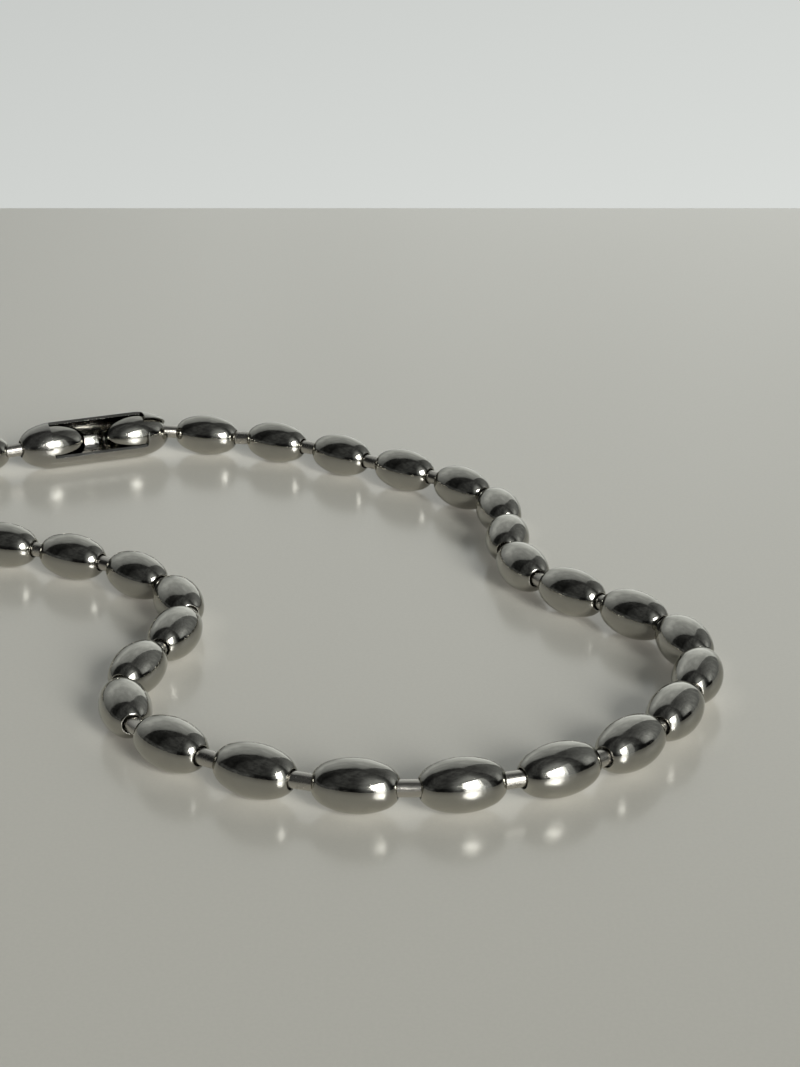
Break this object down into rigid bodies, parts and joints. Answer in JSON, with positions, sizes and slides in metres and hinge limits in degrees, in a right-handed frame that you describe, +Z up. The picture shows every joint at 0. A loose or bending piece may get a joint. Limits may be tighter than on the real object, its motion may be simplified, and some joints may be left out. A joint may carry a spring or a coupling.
{
  "type": "steel ball chain choker",
  "caption": "Closed choker of long hollow steel beads on link pins, with a folded snap clasp, laid down in a loose loop.",
  "frame": {"origin": "middle of the loop's box on the surface that it lies on", "axes": "+Z up from the surface, +X to the right and +Y away from the viewer as laid down"},
  "size_m": [0.1259, 0.1011, 0.0058],
  "materials": {
    "bead_steel": "mirror-polished stainless steel with faint rubbing marks",
    "pin_steel": "bright drawn steel wire",
    "clasp_steel": "polished folded steel sheet, softer inside"
  },
  "bodies": {
    "root": {"bead_01": "bead_steel", "bead_02": "bead_steel", "bead_03": "bead_steel", "bead_04": "bead_steel", "bead_05": "bead_steel", "bead_06": "bead_steel", "bead_07": "bead_steel", "bead_08": "bead_steel", "bead_09": "bead_steel", "bead_10": "bead_steel", "bead_11": "bead_steel", "bead_12": "bead_steel", "bead_13": "bead_steel", "bead_14": "bead_steel", "bead_15": "bead_steel", "bead_16": "bead_steel", "bead_17": "bead_steel", "bead_18": "bead_steel", "bead_19": "bead_steel", "bead_20": "bead_steel", "bead_21": "bead_steel", "bead_22": "bead_steel", "bead_23": "bead_steel", "bead_24": "bead_steel", "bead_25": "bead_steel", "bead_26": "bead_steel", "bead_27": "bead_steel", "bead_28": "bead_steel", "bead_29": "bead_steel", "bead_30": "bead_steel", "bead_31": "bead_steel", "bead_32": "bead_steel", "bead_33": "bead_steel", "bead_34": "bead_steel", "bead_35": "bead_steel", "bead_36": "bead_steel", "bead_37": "bead_steel", "bead_38": "bead_steel", "bead_39": "bead_steel", "bead_40": "bead_steel", "link_pins": "pin_steel", "clasp": "clasp_steel"}
  },
  "joints": []
}
